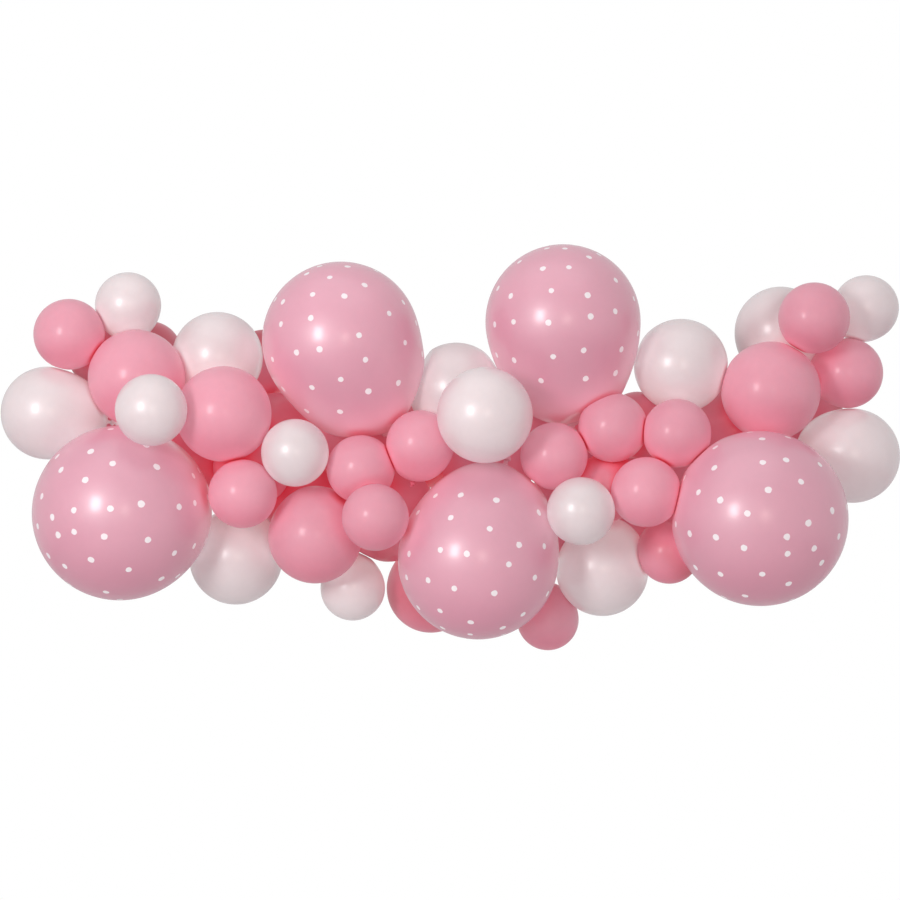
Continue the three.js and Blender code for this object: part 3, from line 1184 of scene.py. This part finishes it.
@dataclass(frozen=True)
class StripFinish:
    """Semi-clear soft plastic, slightly glossy, with faint rolling marks along it.

    Attributes:
        name: the material's name.
        colour: the plastic where it is clearest.
        cloudy: the plastic where it is cloudiest.
        cloud: size of its clouds.
        marks: how many rolling marks there are to a metre along it, in its depth and across it.
        roughness: how matt it is between the marks.
        scatter: share of the light that scatters in it.
        scatter_reach: how far light scatters, in metres.
    """

    name: str = "strip_plastic"
    colour: Colour = (0.90, 0.86, 0.86)
    cloudy: Colour = (0.80, 0.74, 0.75)
    cloud: float = 20.0 * MM
    marks: tuple[float, float, float] = (6.0, 1.0, 900.0)
    roughness: float = 0.30
    scatter: float = 0.3
    scatter_reach: Colour = (0.002, 0.002, 0.002)

    CLOUDINESS = 0.6
    MARK_TINT = 0.25
    MARK_MATT = 0.15
    MARK_STRENGTH = 0.15
    MARK_DEPTH = 0.3 * MM

    def material(self) -> bpy.types.Material:
        """Makes the material.

        Returns:
            The material.
        """
        recipe = Recipe.material(self.name)
        scaling = {"Vector": recipe.place(), "Scale": self.marks}
        mapped = recipe.node("ShaderNodeMapping", {}, scaling)
        marks = recipe.node("ShaderNodeTexNoise", {}, {"Vector": mapped, "Scale": 1.0})
        clouding = (recipe.noise(self.cloud) - 0.5) * self.CLOUDINESS + marks * self.MARK_TINT
        values = {
            "Base Color": recipe.mix(clouding, opaque(self.colour), opaque(self.cloudy)),
            "Roughness": self.roughness + marks * self.MARK_MATT,
            "Normal": recipe.relief(marks, self.MARK_STRENGTH, self.MARK_DEPTH),
            "Subsurface Weight": self.scatter,
            "Subsurface Radius": self.scatter_reach,
            "Subsurface Scale": 1.0,
        }
        return recipe.surface(values)


FINISHES: dict[Dye, LatexFinish] = {
    Dye.MATT_PINK: LatexFinish(
        name="matt_pink_latex",
        colour=(0.81, 0.345, 0.435),
        dense_and_underside_shade=(0.74, 0.170, 0.260),
        gap_shade_colour=(0.84, 0.070, 0.115),
        through=(0.90, 0.36, 0.48),
        glow=0.155,
        roughness=0.46,
        ior=1.40,
        coat=0.36,
        coat_roughness=0.20,
        scatter=0.20,
        scatter_reach=(0.016, 0.005, 0.006),
        underside_shade=0.6,
    ),
    Dye.PEARL_WHITE: LatexFinish(
        name="pearl_white_latex",
        colour=(0.805, 0.695, 0.710),
        dense_and_underside_shade=(0.74, 0.63, 0.65),
        gap_shade_colour=(0.85, 0.60, 0.63),
        through=(0.70, 1.0, 0.96),
        glow=0.245,
        roughness=0.45,
        ior=1.85,
        coat=0.95,
        coat_roughness=0.26,
        scatter=0.25,
        scatter_reach=(0.016, 0.012, 0.011),
        underside_shade=0.8,
    ),
    Dye.DOTTED_PINK: LatexFinish(
        name="pearl_pink_latex",
        colour=(0.755, 0.310, 0.420),
        dense_and_underside_shade=(0.62, 0.180, 0.290),
        gap_shade_colour=(0.88, 0.220, 0.290),
        through=(0.95, 0.74, 0.79),
        glow=0.175,
        roughness=0.50,
        ior=2.3,
        coat=0.9,
        coat_roughness=0.22,
        scatter=0.15,
        scatter_reach=(0.014, 0.006, 0.008),
        underside_shade=0.95,
        dots=True,
    ),
}


# ------------------------------------------------------------------------------ the garland


@dataclass
class Garland:
    """All the balloons and the strip that carries them."""

    strip: Strip = field(default_factory=Strip)
    forms: list[Form] = field(default_factory=list)

    TONE_RANGE = 0.035
    PRINT_TURN = 0.9  # how differently the printed balloons are turned

    def build(self) -> None:
        """Measures every node, then makes and dresses each piece."""
        names = sorted(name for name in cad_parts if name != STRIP_NODE)
        self.forms = [Form.measure(name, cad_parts[name]) for name in names]
        wall_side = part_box(STRIP_NODE)[0].y - WALL_ROOM
        packing = Packing(self.forms, wall_side)
        shared = {dye: FINISHES[dye].material() for dye in (Dye.MATT_PINK, Dye.PEARL_WHITE)}
        for index, form in enumerate(self.forms):
            piece = Balloon(form, packing, self._tone(form, index)).build()
            if form.dye is Dye.DOTTED_PINK:
                material = FINISHES[form.dye].material(turn=self.PRINT_TURN * index, seed=index)
            else:
                material = shared[form.dye]
            dress(piece, material, form.name)
            LOG.info("%s: radius %.0f mm, droop %.2f", form.name, form.radius / MM, form.droop)
        band = self.strip.build()
        dress(band, StripFinish().material(), STRIP_NODE)
        LOG.info("%s: holes every %.0f mm", STRIP_NODE, self.strip.pitch / MM)

    def _tone(self, form: Form, index: int) -> float:
        """A balloon's own slightly lighter or darker tone, spread about 1 without a pattern."""
        return 1.0 + self.TONE_RANGE * math.sin(2.4 * index + form.radius * 90)


def dress(piece: bpy.types.Object, material: bpy.types.Material, node: str) -> None:
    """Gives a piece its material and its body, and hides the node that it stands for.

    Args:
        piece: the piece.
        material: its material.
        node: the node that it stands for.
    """
    piece.data.materials.append(material)
    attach(piece, BODY)
    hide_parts(node)


# ------------------------------------------------------------------------------ the studio


@dataclass(frozen=True)
class Softbox:
    """A soft light: where it stands about the garland, and its size and strength."""

    name: str
    place: tuple[float, float, float]
    size: tuple[float, float]
    power: float
    colour: Colour = WHITE

    def build(self, target: Vector) -> None:
        """Puts up the light.

        Args:
            target: the point that it faces.
        """
        light = bpy.data.lights.new(self.name, "AREA")
        light.shape = "RECTANGLE"
        light.size, light.size_y = self.size
        light.energy = self.power
        light.color = self.colour
        lamp = bpy.data.objects.new(self.name, light)
        bpy.context.scene.collection.objects.link(lamp)
        lamp.location = self.place
        lamp.rotation_euler = facing(Vector(self.place), target).to_euler()


def facing(place: Vector, target: Vector) -> Quaternion:
    """The turn that makes a light or camera at a place look at a target."""
    return (target - place).to_track_quat("-Z", "Y")


@dataclass
class Studio:
    """The camera, the lights, white air all round, and a plain pale floor well below.

    Attributes:
        view_distance: from the camera to the garland's middle.
        view_width: how much the view takes in at that distance.
        middle: the point that the camera looks at.
        sensor: the camera's sensor width, in its own millimetres.
        air_above: strength of the light that the air sheds from above.
        air_below: its strength from below.
        ground_tint: its colour from below.
        floor_drop: from the garland's lowest point to the floor.
        floor_radius: how far the floor reaches.
        floor_colour: the floor's colour.
    """

    view_distance: float = 4.5
    view_width: float = 1.602
    middle: tuple[float, float, float] = (0.0, -0.2366, 0.0061)
    sensor: float = 36.0
    air_above: float = 0.67
    air_below: float = 0.22
    ground_tint: Colour = (1.0, 0.62, 0.74)
    floor_drop: float = 1.05
    floor_radius: float = 2.6
    floor_colour: Colour = (0.86, 0.86, 0.86)

    BRIGHTENING = (-0.85, -0.25)  # rise over which the air grows strong
    WHITENING = (-0.8, -0.1)  # rise over which the ground's tint ends

    def build(self) -> None:
        """Makes the studio round the garland."""
        target = Vector(self.middle)
        self._camera(target)
        for light in self._softboxes():
            light.build(target)
        self._air()
        self._floor(CAD_BOX[0][2] - self.floor_drop)
        bpy.context.scene.view_settings.view_transform = "Standard"

    def _camera(self, target: Vector) -> None:
        """Puts up the camera level with the garland's middle, straight in front.

        Args:
            target: the point that it looks at.
        """
        data = bpy.data.cameras.new("camera")
        data.sensor_width = self.sensor
        data.lens = self.sensor * self.view_distance / self.view_width
        camera = bpy.data.objects.new("camera", data)
        bpy.context.scene.collection.objects.link(camera)
        camera.location = target - Vector((0, self.view_distance, 0))
        camera.rotation_euler = facing(camera.location, target).to_euler()
        bpy.context.scene.camera = camera

    @staticmethod
    def _softboxes() -> list[Softbox]:
        """Lists the lights.

        Returns:
            A key light on the left, a weak warm one by the camera and a wide one above.
        """
        return [
            Softbox("key", place=(-1.82, -3.05, 0.60), size=(0.66, 0.95), power=33.0),
            Softbox(
                "front",
                place=(0.50, -4.95, 0.35),
                size=(0.75, 0.95),
                power=12.0,
                colour=(1.0, 0.84, 0.74),
            ),
            Softbox("top", place=(-0.2, -0.9, 2.2), size=(3.0, 2.0), power=7.0),
        ]

    def _air(self) -> None:
        """White air: the light that it sheds on things is fainter and pinker from below."""
        world = bpy.data.worlds.new("studio_air")
        bpy.context.scene.world = world
        recipe = Recipe(world)
        rise = recipe.part(recipe.node("ShaderNodeTexCoord", output="Generated"), 2)
        seen = recipe.node("ShaderNodeLightPath", output="Is Camera Ray")
        level = self.air_below + rise.fade(*self.BRIGHTENING) * (self.air_above - self.air_below)
        white = rise.fade(*self.WHITENING).math("MAXIMUM", seen)
        values = {
            "Color": recipe.mix(white, opaque(self.ground_tint), opaque(WHITE)),
            "Strength": level + (1.0 - level) * seen,
        }
        recipe.finish(recipe.node("ShaderNodeBackground", {}, values))

    def _floor(self, level: float) -> None:
        """Lays a plain round floor, below the view's edge.

        Args:
            level: its height.
        """
        mesh = bmesh.new()
        bmesh.ops.create_circle(mesh, cap_ends=True, radius=self.floor_radius, segments=96)
        place = Matrix.Translation((0, self.middle[1], level))
        bmesh.ops.transform(mesh, matrix=place, verts=mesh.verts)
        floor = to_object(mesh, "floor")
        values = {"Base Color": opaque(self.floor_colour), "Roughness": 0.9}
        floor.data.materials.append(Recipe.material("pale_floor").surface(values))


def main() -> None:
    """Builds the garland and its studio."""
    logging.basicConfig(level=logging.INFO, format="%(name)s: %(message)s")
    Garland().build()
    Studio().build()
    bpy.context.view_layer.update()


if __name__ == "__main__":
    main()
